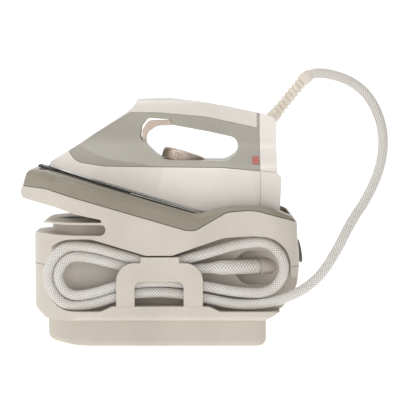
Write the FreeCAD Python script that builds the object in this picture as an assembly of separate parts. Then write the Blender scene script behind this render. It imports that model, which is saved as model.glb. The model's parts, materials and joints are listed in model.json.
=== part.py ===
import FreeCAD, Part
import math
import os

# ---------------------------------------------------------------------------------------------
# Steam generator iron: a station with a boiler, and the iron that stands on its sloping rest.
# Millimetres, +Z up, +X towards the rear of the station, -Y is the side that stores the hose.
# The origin is on the table, under the middle of the station.
# ---------------------------------------------------------------------------------------------

# Station, overall
station_half_width = 105.0
body_front = -157.3
body_rear = 168.6
tongue_front = -175.7
plinth_front = -141.0
plinth_rear = 128.0
plinth_half_width = 92.0
plinth_top = 33.0
parting_height = 98.0
platform_height = 152.0
wall = 2.5
foot_stand = 1.2
rim_round = 7.5
rim_step = 3.0

# Sloping rest, and the iron's soleplate on it
slope = 16.0
sole_nose_x = -137.3
sole_nose_z = 214.4
rest_gap = 2.6
trough_half_width = 66.0
trough_end_x = 156.0
sole_length = 250.0
sole_half_width = 58.0
sole_thickness = 3.0
iron_wall = 2.2
handle_half_width = 18.0

# Steam hose
hose_diameter = 12.0
recess_floor_y = -75.0

# Clearances
fit = 0.3
shaft_fit = 0.06
face_gap = 0.5

seam_width = 0.7
seam_depth = 1.0
cover_seam_width = 1.0
cover_seam_depth = 1.8

reach = 400.0
parts = {}


def vec(x, y, z):
    return FreeCAD.Vector(x, y, z)


up = vec(0, 0, 1)


def side_point(a, b):
    return vec(a, 0, b)


def plan_point(a, b):
    return vec(a, b, 0)


def front_point(a, b):
    return vec(0, a, b)


def rounded_wire(corners, place):
    """Closed wire through (a, b, radius) corners, each corner an arc of its radius."""
    bends = []
    for index, (a, b, radius) in enumerate(corners):
        here = place(a, b)
        before = place(*corners[index - 1][:2])
        after = place(*corners[(index + 1) % len(corners)][:2])
        inward = (here - before).normalize()
        outward = (after - here).normalize()
        half_turn = inward.getAngle(outward) / 2
        tangent = radius * math.tan(half_turn)
        start = here - inward * tangent
        finish = here + outward * tangent
        middle = here + (outward - inward).normalize() * (radius / math.cos(half_turn) - radius)
        bends.append((start, middle, finish, radius))
    edges = []
    for index, (start, middle, finish, radius) in enumerate(bends):
        if radius > 0:
            edges.append(Part.Arc(start, middle, finish).toShape())
        following = bends[(index + 1) % len(bends)][0]
        if (following - finish).Length > 1e-6:
            edges.append(Part.LineSegment(finish, following).toShape())
    return Part.Wire(edges)


def prism(corners, place, direction, low, high, inset=0.0):
    """Solid of an outline, inset all round, between two distances along its normal direction."""
    face = Part.Face(rounded_wire(corners, place))
    if inset:
        face = face.makeOffset2D(-inset)
    face.translate(direction * low)
    return face.extrude(direction * (high - low))


def side_block(corners, y_low, y_high, inset=0.0):
    return prism(corners, side_point, vec(0, 1, 0), y_low, y_high, inset)


def plan_block(corners, z_low, z_high, inset=0.0):
    return prism(corners, plan_point, vec(0, 0, 1), z_low, z_high, inset)


def front_block(corners, x_low, x_high, inset=0.0):
    return prism(corners, front_point, vec(1, 0, 0), x_low, x_high, inset)


def box(x_low, x_high, y_low, y_high, z_low, z_high):
    return Part.makeBox(x_high - x_low, y_high - y_low, z_high - z_low, vec(x_low, y_low, z_low))


def rounded_box(x_low, x_high, y_low, y_high, z_low, z_high, radius):
    """Box with its upright edges rounded."""
    corners = [(x_low, y_low, radius), (x_high, y_low, radius), (x_high, y_high, radius),
        (x_low, y_high, radius)]
    return plan_block(corners, z_low, z_high)


def rod(start, direction, length, radius):
    return Part.makeCylinder(radius, length, start, direction)


def tube(start, direction, length, outer_radius, inner_radius):
    return rod(start, direction, length, outer_radius).cut(rod(start, direction, length, inner_radius))


def mirrored(half):
    """Full plan outline from its corners on the +Y side, listed from front to rear."""
    return half + [(a, -b, radius) for a, b, radius in reversed(half)]


def symmetric(half):
    """Full front outline from its corners on the +Y side, listed from bottom to top."""
    return half + [(-a, b, radius) for a, b, radius in reversed(half)]


def sole_line(x, lift=0.0):
    """Height, at x, of the line that lies lift above the sole plane."""
    angle = math.radians(slope)
    return sole_nose_z - (x - sole_nose_x) * math.tan(angle) + lift / math.cos(angle)


def on_sole(shape):
    """Moves a shape from the sole's own frame (x back from the nose, z off the sole) to its place."""
    turned = shape.copy()
    turned.Placement = FreeCAD.Placement(
        vec(sole_nose_x, 0, sole_nose_z), FreeCAD.Rotation(vec(0, 1, 0), slope)
    ).multiply(turned.Placement)
    return turned


def rounded_edges(shape, radius, wanted):
    return shape.makeFillet(radius, [edge for edge in shape.Edges if wanted(edge)])


# ---------------------------------------------------------------------------------------------
# Outlines of the station. Side outlines are (x, z, radius), plan outlines (x, y, radius).
# ---------------------------------------------------------------------------------------------
body_plan = mirrored([(body_front, 30, 70), (-116, station_half_width, 45),
    (body_rear, station_half_width, 40)])
rest_plan = mirrored([(tongue_front, 24, 60), (-122, station_half_width, 55),
    (body_rear, station_half_width, 40)])
plinth_plan = mirrored([(plinth_front, 26, 60), (-104, plinth_half_width, 40),
    (plinth_rear, plinth_half_width, 14)])

rear_edge = [(165.0, 152, 0), (165.6, 136, 30), (body_rear, 112, 30), (body_rear, 98, 30), (165.4, 74, 20),
             (150, 48.5, 30), (126, plinth_top, 0)]
body_outline = [
    (-141, plinth_top, 4), (-156, 44, 8), (body_front, 60, 10), (body_front, 133, 10),
    (-147.5, 148, 5), (-140, platform_height, 8), (-71, platform_height, 1), (-71, 155.5, 2),
    (-101, 161.8, 60), (-129.4, 171, 30), (-172.6, 178.5, 4), (tongue_front, 187, 4), (-171.7, 193, 0),
    (-164.5, 214.5, 10), (-140, sole_line(-140, -rest_gap), 20), (42, sole_line(42, -rest_gap), 30),
    (84, 171.0, 40), (130, 171.0, 34), (159, 159, 10),
] + rear_edge

# Everything above this line is the top cover
cover_region = [
    (-190, 196.5, 0), (-171.7, 193, 8), (-137.4, 191.3, 40), (-52.3, 166.6, 0), (30, 142.6, 16),
    (42, 142.2, 12), (80, 164.3, 24), (112, 167.0, 60), (152, 156.0, 0), (190, 143, 0), (190, 260,
        0), (-190, 260, 0),
]
trough_region = [
    (-200, sole_line(-200, -rest_gap), 0), (trough_end_x, sole_line(trough_end_x, -rest_gap), 10),
    (trough_end_x + 4, 200, 0), (trough_end_x + 4, 290, 0), (-200, 290, 0),
]
recess_outline = [
    (-145.5, 44.5, 42), (-145.5, 130.5, 40), (-84, 132.5, 40), (-18, 112.5, 8), (14, 112.5, 8),
    (76, 134, 40), (112, 136, 40), (157, 133, 36), (157, 82, 5), (200, 94, 0), (200, 46, 0), (130, 44.5, 0),
    (72, 44.5, 10), (58, 51, 10), (-58, 51, 10), (-72, 44.5, 10),
]
pocket_outline = [(90, 75, 20), (143, 75, 20), (143, 117, 20), (90, 117, 20)]
pocket_floor_y = recess_floor_y + 13.0
pocket_ramp = (113.0, 146.0)
belly_outline = symmetric([(station_half_width, plinth_top, 9), (station_half_width, reach, 0)])
groove_depth = 22.0
groove_outline = [(-200, 136.5, 0), (-66, 136.5, 7), (-66, 149.4, 5), (-200, 149.4, 0)]


def body_form(side_inset=0.0, plan_inset=0.0):
    """Form of the station, inset from its side outline and from its plan outline."""
    side = side_block(body_outline, -reach, reach, side_inset)
    low = side.common(plan_block(body_plan, 0, 155, plan_inset))
    high = side.common(plan_block(rest_plan, 155, 260, plan_inset))
    belly = front_block(belly_outline, -reach, reach, side_inset)
    return low.fuse(high).removeSplitter().common(belly)


def on_top_rim(edge):
    """True for the edges where the sides meet the top of the cover."""
    middle = edge.valueAt((edge.FirstParameter + edge.LastParameter) / 2)
    direction = edge.tangentAt((edge.FirstParameter + edge.LastParameter) / 2)
    level = abs(direction.z) < 0.999 and middle.z > 150
    high = middle.z > sole_line(middle.x) - 6 or (middle.x > 30 and middle.z > 152.5)
    at_front = middle.x < -163 and middle.z > 195
    rim = Part.Wire(Part.Face(rounded_wire(rest_plan, plan_point)).OuterWire)
    outside = rim.distToShape(Part.Vertex(middle.x, middle.y, 0))[0] < 0.01
    return level and outside and (high or at_front)


def groove_form(grown=0.0):
    """Grip groove under the platform, open at the front and partly along the sides."""
    slot = side_block(groove_outline, -reach, reach, -grown)
    core = plan_block(body_plan, 100, 200, groove_depth + grown)
    return slot.cut(core)


def recess_form(grown=0.0):
    floor_y = pocket_floor_y + grown
    rise_y = recess_floor_y + grown
    ramp = [(0, -reach, 0), (0, floor_y, 0), (pocket_ramp[0], floor_y, 6), (pocket_ramp[1], rise_y, 0),
            (reach, rise_y, 0), (reach, -reach, 0)]
    deep = side_block(pocket_outline, -reach, floor_y, -grown).common(plan_block(ramp, -reach, reach))
    return side_block(recess_outline, -reach, recess_floor_y + grown, -grown).fuse(deep)


def trough_form(grown=0.0):
    """Trough that holds the iron between the side rims of the top cover."""
    width = trough_half_width + grown
    return side_block(trough_region, -width, width, -grown)


# ---------------------------------------------------------------------------------------------
# Station shells: one thin form, parted at the mid line and along the cover's seam
# ---------------------------------------------------------------------------------------------
outer = rounded_edges(body_form(), rim_round, on_top_rim)
outer = outer.cut(groove_form()).cut(recess_form()).cut(trough_form())
cavity = body_form(wall, wall + rim_step).fuse(body_form(wall + rim_step, wall))
cavity = cavity.cut(groove_form(wall)).cut(recess_form(wall)).cut(trough_form(wall))
shell = outer.cut(cavity)
above_seam = side_block(cover_region, -reach, reach).fuse(trough_form(wall + fit))
lower_half = box(-reach, reach, -reach, reach, 0, parting_height)

# Shadow lines along the two joints of the shells
mid_seam = plan_block(rest_plan, parting_height - seam_width / 2, parting_height + seam_width / 2, -5)
mid_seam = mid_seam.cut(plan_block(body_plan, 0, reach, seam_depth))
cover_seam = side_block(cover_region, -reach, reach).cut(side_block(cover_region, -reach, reach,
    cover_seam_width))
cover_seam = cover_seam.cut(side_block(body_outline, -reach, reach, cover_seam_depth).common(
    plan_block(rest_plan, 0, reach, cover_seam_depth)))
shell = shell.cut(mid_seam).cut(cover_seam)
lower_housing = shell.common(lower_half)
upper_housing = shell.cut(lower_half).cut(above_seam)
top_cover = shell.common(above_seam)

# ---------------------------------------------------------------------------------------------
# Plinth, feet and the screws that hold the plinth to the lower housing
# ---------------------------------------------------------------------------------------------
plinth_round = 9.0
screw_places = [(-100, 62), (-100, -62), (100, 70), (100, -58)]
foot_places = [(-92, 50), (-92, -50), (98, 50), (98, -50)]
foot_radius = 10.0
foot_plug_radius = 5.0
foot_plug_height = 1.4
screw_radius = 2.0
screw_head_radius = 3.8
screw_head_height = 2.4
screw_seat = 9.0
screw_top = 50.0
boss_radius = 6.0


def plinth_form(inset=0.0):
    block = plan_block(plinth_plan, foot_stand + inset, plinth_top + inset, inset)
    return rounded_edges(block, plinth_round - inset,
        lambda edge: edge.BoundBox.ZMax < foot_stand + inset + 0.01)


plinth = plinth_form().cut(plinth_form(wall))
screws = []
feet = []
for x, y in screw_places:
    plinth = plinth.fuse(rod(vec(x, y, foot_stand + wall / 2), up, plinth_top - foot_stand - wall / 2,
        boss_radius))
    plinth = plinth.cut(rod(vec(x, y, 0), up, screw_seat, screw_head_radius + fit))
    plinth = plinth.cut(rod(vec(x, y, 0), up, plinth_top, screw_radius + fit))
    lower_housing = lower_housing.fuse(rod(vec(x, y, plinth_top + wall / 2), up,
        screw_top - plinth_top, boss_radius))
    lower_housing = lower_housing.cut(rod(vec(x, y, 0), up, screw_top, screw_radius + fit / 2))
    head = rod(vec(x, y, screw_seat - screw_head_height), up, screw_head_height, screw_head_radius)
    screws.append(head.fuse(rod(vec(x, y, screw_seat), up, screw_top - screw_seat - 1, screw_radius)))
for x, y in foot_places:
    plinth = plinth.cut(rod(vec(x, y, 0), up, foot_stand + foot_plug_height + fit, foot_plug_radius + fit))
    feet.append(rod(vec(x, y, 0), up, foot_stand, foot_radius).fuse(
        rod(vec(x, y, foot_stand), up, foot_plug_height, foot_plug_radius)))
parts["plinth"] = plinth
parts["rubber_feet"] = Part.makeCompound(feet)
parts["plinth_screws"] = Part.makeCompound(screws)

# ---------------------------------------------------------------------------------------------
# Hose bracket: an arch over the stored hose, with a tab up to the housing and feet on the ledge
# ---------------------------------------------------------------------------------------------
bracket_front_y = -station_half_width + 0.2
bracket_thickness = 3.4
ledge_height = 51.0
bracket_outline = [
    (-53.2, ledge_height, 0), (-53.2, 103.5, 22), (-23.7, 103.5, 2), (-23.7, 110.5, 0), (22.6, 110.5, 0),
    (22.6, 103.5, 2), (51.2, 103.5, 22), (51.2, ledge_height, 0), (28, ledge_height, 0), (28, 81, 8),
    (-31, 81, 8), (-31, ledge_height, 0),
]
bracket = side_block(bracket_outline, bracket_front_y, bracket_front_y + bracket_thickness)
for low, high in ((-53.2, -31), (28, 51.2)):
    bracket = bracket.fuse(box(low, high, bracket_front_y, recess_floor_y, ledge_height,
        ledge_height + bracket_thickness))
parts["hose_bracket"] = bracket

# ---------------------------------------------------------------------------------------------
# Steam hose: route of the centre line, collar in the housing, and a sewn cuff over its first part
# ---------------------------------------------------------------------------------------------
hose_route = [
    (121, -72, 97), (91, -87, 97.3), (52, -90.5, 96.5), (0, -82.5, 90), (-50, -90.5, 99.8),
    (-88, -92, 110.5), (-113.6, -92, 110.5), (-127.1, -92, 87), (-113.6, -92, 63.5), (-88, -92, 63.5),
    (-50, -92, 76), (0, -92, 81.3), (50, -92, 75.5), (96, -92, 66.4), (135.7, -92, 66.4),
    (153.3, -92, 97), (135.7, -92, 127.6), (100, -92, 128), (48, -92, 112), (0, -94, 99.5),
    (-50, -92, 112.5), (-86, -92, 123), (-120.8, -92, 123), (-141.6, -92, 87), (-120.8, -92, 51),
    (-86, -92, 51), (-50, -92, 63.6), (0, -92, 68.6), (51, -92, 61), (98, -92, 50.5),
    (148, -94, 57), (188, -88, 79), (213, -76, 114), (232, -62, 150.5), (254, -46, 180),
    (272, -30, 219), (276, -16, 258), (264, -7, 296), (240, -2, 321), (206, 0, 332.5),
    (183, 0, 331.8), (174.79, 0, 321.76),
]
arc_share = 0.45
split_point = 29


def route_edges(points):
    """Straight runs joined by tangent arcs, each arc as large as its two runs allow."""
    edges = []
    here = points[0]
    for before, corner, after in zip(points, points[1:], points[2:]):
        inward = (corner - before).normalize()
        outward = (after - corner).normalize()
        half_turn = inward.getAngle(outward) / 2
        tangent = arc_share * min((corner - before).Length, (after - corner).Length)
        radius = tangent / math.tan(half_turn)
        start = corner - inward * tangent
        finish = corner + outward * tangent
        middle = corner + (outward - inward).normalize() * (radius / math.cos(half_turn) - radius)
        edges.append(Part.LineSegment(here, start).toShape())
        edges.append(Part.Arc(start, middle, finish).toShape())
        here = finish
    edges.append(Part.LineSegment(here, points[-1]).toShape())
    return edges


def swept_tube(edges, radius):
    path = Part.Wire(edges)
    start = edges[0].valueAt(edges[0].FirstParameter)
    heading = edges[0].tangentAt(edges[0].FirstParameter)
    ring = Part.Wire(Part.makeCircle(radius, start, heading))
    return path.makePipeShell([ring], True, False)


hose_points = [vec(*point) for point in hose_route]
hose_edges = route_edges(hose_points)
stored_edges = hose_edges[:2 * split_point - 1]
free_edges = hose_edges[2 * split_point - 1:]
stored_hose = swept_tube(stored_edges, hose_diameter / 2)
free_hose = swept_tube(free_edges, hose_diameter / 2)
section = math.pi * (hose_diameter / 2) ** 2
for label, edges, solid in (("stored", stored_edges, stored_hose), ("free", free_edges, free_hose)):
    length = sum(edge.Length for edge in edges)
    ratio = solid.Volume / (section * length)
    print(label, "hose length %.1f" % length, "volume over section x length %.5f" % ratio)
parts["steam_hose_stored"] = stored_hose
parts["steam_hose_free"] = free_hose

collar_radius = 9.4
collar_back = 17.0
collar_front = 1.5
hose_start = hose_points[0]
hose_heading = (hose_points[1] - hose_points[0]).normalize()
collar_start = hose_start - hose_heading * collar_back
collar_length = collar_back + collar_front
collar = rod(collar_start, hose_heading, collar_length, collar_radius)
collar = collar.cut(rod(hose_start, hose_heading, reach, hose_diameter / 2 + fit))
lower_housing = lower_housing.cut(rod(collar_start, hose_heading, 40, collar_radius + fit))
upper_housing = upper_housing.cut(rod(collar_start, hose_heading, 40, collar_radius + fit))
parts["hose_port_collar"] = collar
cuff_length = 14.0
cuff_start = hose_start + hose_heading * (collar_front + fit)
cuff = Part.makeCone(9.0, 7.6, cuff_length, cuff_start, hose_heading)
cuff = cuff.cut(rod(hose_start, hose_heading, reach, hose_diameter / 2 + fit))
parts["hose_cuff"] = cuff

# ---------------------------------------------------------------------------------------------
# Iron: one thin form on the soleplate, parted into skirt, handle shell, top cover and heel cover
# ---------------------------------------------------------------------------------------------
heel_top_x = 142.0
iron_seam_width = 0.7
iron_seam_depth = 0.9
heel_seam_x = 121.0
heel_low_x = 147.6
boot_base = vec(135.4, 0, 273.8)
boot_heading = vec(math.cos(math.radians(50.6)), 0, math.sin(math.radians(50.6)))

iron_outline = [
    (-143.5, 219.5, 3), (-139, sole_line(-139, sole_thickness + fit), 2), (144.5,
        sole_line(144.5, sole_thickness + fit), 6),
    (heel_low_x, 205, 3), (heel_top_x, 209, 3), (heel_top_x, 277.5, 8), (119.4, 283, 1.5), (86.7,
        290.1, 200),
    (46.8, 297.4, 200), (10, 301.3, 60), (-29.5, 300.4, 5), (-34.7, 290.6, 8), (-44, 283, 60), (-116,
        236, 50),
]
iron_plan = mirrored([(-9, 6, 8), (60, 43, 90), (150, sole_half_width, 200),
    (235, sole_half_width, 60), (330, 47, 0)])
iron_front = symmetric([(75, 120, 0), (59, 214, 30), (45, 226, 16), (21, 246, 30),
    (handle_half_width, 301.5, 13)])
opening_outline = [
    (-19.5, 245, 14), (-19.5, 268.2, 17), (13, 268.2, 30), (60, 259.5, 80), (92, 252.5, 13), (97.5,
        236, 12),
    (80, 224.3, 20), (0, 225.5, 30),
]
cap_region = [
    (-116.5, 235.5, 0), (-38.6, 283.2, 4), (-2, 282.7, 60), (55, 277.6, 80), (118.8, 264, 0), (118.8,
        320, 0), (-116.5, 320, 0),
]
upper_region = [
    (-119, 244, 0), (-107.5, 222.6, 20), (-70, 217.4, 60), (73, 216.3, 200), (180, 207, 0), (180, 330,
        0), (-119, 330, 0),
]


def iron_form(inset=0.0):
    side = side_block(iron_outline, -reach, reach, inset)
    plan = on_sole(plan_block(iron_plan, -60, 260, inset))
    return side.common(plan).common(front_block(iron_front, -reach, reach, inset))


opening = side_block(opening_outline, -reach, reach)
iron_shell = iron_form().cut(opening)
iron_shell = iron_shell.cut(iron_form(iron_wall).cut(side_block(opening_outline, -reach, reach,
    -iron_wall)))
# Trigger under the front of the grip, its notch, and the pin behind it
trigger_outline = [
    (-18.4, 249, 0.8), (-23.6, 249.5, 0.8), (-23.8, 262, 6), (-16.5, 273.6, 8), (12.1, 273.6,
        1), (12.1, 267.4, 0.8),
    (-4.5, 267.3, 14), (-18.3, 258, 12),
]
trigger_travel = 5.0
trigger_pin = vec(16.0, 0, 273.6)
trigger_pin_radius = 1.5
lug_half_width = 9.0
lug_outline = [(9, 271, 1), (19.5, 271, 2), (19.5, 276.2, 2), (9, 276.2, 1)]
notch = side_block(trigger_outline, -reach, reach, -face_gap)
for share in (0.25, 0.5, 0.75, 1.0):
    swept_notch = side_block(trigger_outline, -reach, reach, -face_gap)
    swept_notch.rotate(trigger_pin, vec(0, 1, 0), share * trigger_travel)
    notch = notch.fuse(swept_notch)
trigger = side_block(trigger_outline, -reach, reach).common(iron_form(fit))
trigger = trigger.fuse(side_block(lug_outline, -lug_half_width, lug_half_width))
pin_hole = rod(trigger_pin - vec(0, 30, 0), vec(0, 1, 0), 60, trigger_pin_radius + shaft_fit)
parts["steam_trigger"] = trigger.cut(pin_hole)
iron_shell = iron_shell.cut(notch)
for side in (-1, 1):
    boss = rod(vec(trigger_pin.x, side * (lug_half_width + face_gap), trigger_pin.z), vec(0, side, 0),
        8.0, 3.2)
    iron_shell = iron_shell.fuse(boss.common(iron_form(iron_wall / 2)))
pin_length = 2 * (lug_half_width + 5)
pin_start = trigger_pin - vec(0, pin_length / 2, 0)
pin = rod(pin_start, vec(0, 1, 0), pin_length, trigger_pin_radius)
iron_shell = iron_shell.cut(pin)
parts["trigger_pin"] = pin

# Thermostat dial in a cup of the handle shell, square to the soleplate
dial_x = 154.5
dial_top = 65.0
dial_radius = 27.0
dial_height = 13.0
dial_gap = 0.8
cup_wall = 2.0
dial_shaft_radius = 3.0
thermostat_top = 34.0
thermostat_radius = 12.0
dial_shaft_end = 26.0
dial_bottom = dial_top - dial_height


def sole_rod(x, y, z_low, z_high, radius):
    """Round piece standing square on the soleplate."""
    return on_sole(rod(vec(x, y, z_low), vec(0, 0, 1), z_high - z_low, radius))


cup_low = dial_bottom - face_gap - cup_wall
cup = sole_rod(dial_x, 0, cup_low, dial_top, dial_radius + dial_gap + cup_wall)
cup = cup.common(iron_form()).cut(opening)
pocket = sole_rod(dial_x, 0, dial_bottom - face_gap, dial_top + 20, dial_radius + dial_gap)
above_deck = side_block([(-30, 262, 0), (-30, 200, 0), (110, 200, 0), (110, 245, 0)], -reach, reach)
dial_bore = sole_rod(dial_x, 0, 0, 100, dial_shaft_radius + shaft_fit)

for region in (cap_region, upper_region):
    seam = side_block(region, -reach, reach).cut(side_block(region, -reach, reach, iron_seam_width))
    iron_shell = iron_shell.cut(seam.cut(iron_form(iron_seam_depth)))
seam = box(heel_seam_x, heel_seam_x + iron_seam_width, -reach, reach, 0, reach)
iron_shell = iron_shell.cut(seam.cut(iron_form(iron_seam_depth)))
heel_side = box(heel_seam_x, reach, -reach, reach, 0, reach)
cap_side = side_block(cap_region, -reach, reach)
upper_side = side_block(upper_region, -reach, reach)
heel_cover = iron_shell.common(heel_side)
body_shell = iron_shell.cut(heel_side)
handle_top_cover = body_shell.common(cap_side)
handle_shell = body_shell.cut(cap_side).common(upper_side)
handle_shell = handle_shell.fuse(cup).cut(pocket.common(above_deck)).cut(dial_bore)
iron_skirt = body_shell.cut(cap_side).cut(upper_side)
dial = sole_rod(dial_x, 0, dial_bottom, dial_top, dial_radius)
dial = rounded_edges(dial, 1.5, lambda edge: edge.Length > 6 * dial_radius)
parts["thermostat_dial"] = dial
parts["dial_shaft"] = sole_rod(dial_x, 0, dial_shaft_end, dial_bottom, dial_shaft_radius)

# Soleplate with its steam holes, heater block, heat shield and thermostat, stacked from the sole up
sole_plan = mirrored([(-4.5, 5, 6), (60, 40, 90), (150, sole_half_width - 3, 200),
    (sole_length, sole_half_width - 3, 22)])
block_margin = 12.0
block_plan = mirrored([
    (14, 5, 6), (60, 31, 90), (150, sole_half_width - block_margin, 200),
    (sole_length - block_margin, sole_half_width - block_margin, 14),
])
block_top = 16.0
shield_thickness = 1.6
steam_hole_radius = 1.4
chamber_low = 5.0
soleplate_form = plan_block(sole_plan, 0, sole_thickness)
soleplate_form = rounded_edges(soleplate_form, 0.8, lambda edge: edge.BoundBox.ZMax < 0.01)
block_form = plan_block(block_plan, sole_thickness, block_top)
chamber_plan = mirrored([(34, 8, 3), (70, 25, 40), (232, 37, 10)])
steam_chamber = plan_block(chamber_plan, sole_thickness, chamber_low)
holes = []
for row in range(11):
    x = 42.0 + 18.0 * row
    spread = 13.0 + 1.9 * row
    for y in (-spread, spread):
        holes.append(rod(vec(x, y, -1), vec(0, 0, 1), sole_thickness + 2, steam_hole_radius))
for x in (24.0, 36.0, 48.0):
    holes.append(rod(vec(x, 0, -1), vec(0, 0, 1), sole_thickness + 2, steam_hole_radius))
soleplate_form = soleplate_form.cut(Part.makeCompound(holes))
parts["soleplate"] = on_sole(soleplate_form)
parts["heater_block"] = on_sole(block_form.cut(steam_chamber))
parts["heat_shield"] = on_sole(plan_block(block_plan, block_top, block_top + shield_thickness, -2.0))
skirt_opening = on_sole(plan_block(block_plan, -5, block_top + shield_thickness + 1, -4.0))
iron_skirt = iron_skirt.cut(skirt_opening)
heel_cover = heel_cover.cut(skirt_opening)
thermostat = sole_rod(dial_x, 0, block_top + shield_thickness, thermostat_top, thermostat_radius)
parts["thermostat"] = thermostat.cut(sole_rod(dial_x, 0, dial_shaft_end - 1, 100,
    dial_shaft_radius + shaft_fit))

# Indicator lens in the side of the handle shell
lens_outline = [(112, 220.4, 1.5), (120, 220.4, 1.5), (120, 230, 1.5), (112, 230, 1.5)]
lens_window = side_block(lens_outline, -reach, -handle_half_width, -0.1)
lens = side_block(lens_outline, -reach, -handle_half_width).common(iron_form(-0.5)).cut(iron_form(iron_wall))
handle_shell = handle_shell.cut(lens_window)
parts["indicator_lens"] = lens

# Strain relief boot at the top of the heel: root, ribs and end collar on one axis
boot_length = 62.0
boot_root = 10.0
boot_root_radius = 8.0
boot_core_radius = 5.6
boot_rib_radius = 7.0
boot_rib_width = 4.2
boot_rib_pitch = 5.6
boot_ribs = 6
boot_ribs_start = 15.5
boot_end_start = 48.5
boot_end_radius = 7.8


def boot_rod(start, end, radius):
    return rod(boot_base + boot_heading * start, boot_heading, end - start, radius)


boot = boot_rod(-boot_root, boot_ribs_start, boot_root_radius).fuse(boot_rod(0, boot_length,
    boot_core_radius))
for rib in range(boot_ribs):
    start = boot_ribs_start + 1.4 + rib * boot_rib_pitch
    boot = boot.fuse(boot_rod(start, start + boot_rib_width, boot_rib_radius))
boot = boot.fuse(boot_rod(boot_end_start, boot_length, boot_end_radius)).removeSplitter()
heel_cover = heel_cover.cut(boot_rod(-boot_root - 20, boot_length, boot_root_radius + fit))
parts["hose_boot"] = boot

# Tube that takes the steam from the boot down to the heater block, and the trigger's switch
tube_radius = 3.0
tube_start = boot_base - boot_heading * boot_root
tube_foot = on_sole(Part.Vertex(236, 0, block_top + shield_thickness)).Point
iron_tube = rod(tube_start, tube_foot - tube_start, (tube_foot - tube_start).Length, tube_radius)
iron_tube = iron_tube.cut(on_sole(box(200, 260, -30, 30, 0, block_top + shield_thickness)))
iron_tube = iron_tube.cut(boot_rod(-boot_root, 0, boot_root_radius))
parts["iron_steam_tube"] = iron_tube
switch = rounded_box(-14, 6, -5, 5, 281, 289, 1)
switch = switch.fuse(box(6, 8, -14, 14, 281, 289))
parts["trigger_switch"] = switch

parts["heel_cover"] = heel_cover
parts["handle_top_cover"] = handle_top_cover
parts["handle_shell"] = handle_shell
parts["iron_skirt"] = iron_skirt

# ---------------------------------------------------------------------------------------------
# Rest pads and bright strips on the cover, under the edges of the soleplate
# ---------------------------------------------------------------------------------------------
pad_low = -rest_gap
pad_plays = 0.15
mat_top = pad_low + 1.7
mat = plan_block(sole_plan, pad_low, mat_top, -4.0).cut(plan_block(block_plan, -10, 10))
nose_pad = rounded_box(-16, 5, -20, 20, pad_low, -pad_plays, 3)
pads = on_sole(mat.fuse(nose_pad))
strips = []
for side in (-1, 1):
    y_low, y_high = sorted((side * 55.6, side * 58.6))
    strips.append(on_sole(rounded_box(104, 194, y_low, y_high, mat_top, -pad_plays, 1.4)))
parts["rest_pads"] = pads
parts["rest_strips"] = Part.makeCompound(strips)

# ---------------------------------------------------------------------------------------------
# Water: tank in the front, filler neck and cap under the tongue
# ---------------------------------------------------------------------------------------------
filler = vec(-110.0, 0, 0)
neck_radius = 15.0
neck_bore = 13.0
cap_radius = 18.5
well_radius = 19.0
well_floor = 145.0
tank_top = 129.0
tank_floor = 56.0
tank_rear = -35.0
tank_wall = 2.0


def tank_form(inset=0.0):
    block = plan_block(body_plan, tank_floor + inset, tank_top - inset, wall + 4 + inset)
    return block.common(box(-reach, tank_rear - inset, recess_floor_y + wall + 2 + inset, 98 - inset,
        0, reach))


tank = tank_form().cut(tank_form(tank_wall))
tank = tank.cut(rod(vec(filler.x, 0, tank_top - 10), up, 20, neck_bore))
well = rod(vec(filler.x, 0, well_floor - 2), up, platform_height - well_floor + 1.5, well_radius + 2)
upper_housing = upper_housing.fuse(well)
upper_housing = upper_housing.cut(rod(vec(filler.x, 0, well_floor), up, 10, well_radius))
upper_housing = upper_housing.cut(rod(vec(filler.x, 0, well_floor - 5), up, 10, neck_radius + fit))
neck = tube(vec(filler.x, 0, tank_top), up, well_floor + 1 - tank_top, neck_radius, neck_bore)
cap_low = well_floor + 1 + fit
cap = rod(vec(filler.x, 0, cap_low), up, platform_height - cap_low - 0.2, cap_radius)
cap = cap.fuse(rod(vec(filler.x, 0, well_floor - 9), up, 11, neck_bore - fit))
for side in (-1, 1):
    scoop = rod(vec(filler.x, 0, platform_height - 2.2), up, 5, cap_radius - 3)
    y_low, y_high = sorted((side * 3.5, side * 40))
    cap = cap.cut(scoop.common(box(-reach, reach, y_low, y_high, 0, reach)))
outlet = vec(tank_rear, 79, 66)
tank = tank.cut(rod(outlet - vec(5, 0, 0), vec(1, 0, 0), 10, 2.0))
parts["water_tank"] = tank
parts["filler_neck"] = neck
parts["filler_cap"] = cap

# ---------------------------------------------------------------------------------------------
# Steam: pump, boiler with its element and cradle, valves and tubes
# ---------------------------------------------------------------------------------------------
along = vec(1, 0, 0)
floor_top = plinth_top + wall
boiler_start = vec(0, 15, 84)
boiler_length = 130.0
boiler_radius = 40.0
boiler_wall = 2.0
boiler_dome = 14.0
element_radius = 4.0
element_spread = 14.0
element_drop = 14.0
pump_radius = 13.0
pump_length = 50.0


def boiler_form(inset=0.0):
    body = rod(boiler_start + along * inset, along, boiler_length - 2 * inset, boiler_radius - inset)
    return rounded_edges(body, boiler_dome - inset, lambda edge: edge.Length > 4 * boiler_radius)


def bent_tube(points, radius):
    """Tube along straight runs with rounded bends."""
    edges = []
    here = points[0]
    for before, corner, after in zip(points, points[1:], points[2:]):
        inward = (corner - before).normalize()
        outward = (after - corner).normalize()
        half_turn = inward.getAngle(outward) / 2
        tangent = arc_share * min((corner - before).Length, (after - corner).Length)
        bend = tangent / math.tan(half_turn)
        middle = corner + (outward - inward).normalize() * (bend / math.cos(half_turn) - bend)
        edges.append(Part.LineSegment(here, corner - inward * tangent).toShape())
        edges.append(Part.Arc(corner - inward * tangent, middle, corner + outward * tangent).toShape())
        here = corner + outward * tangent
    edges.append(Part.LineSegment(here, points[-1]).toShape())
    return swept_tube(edges, radius)


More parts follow.
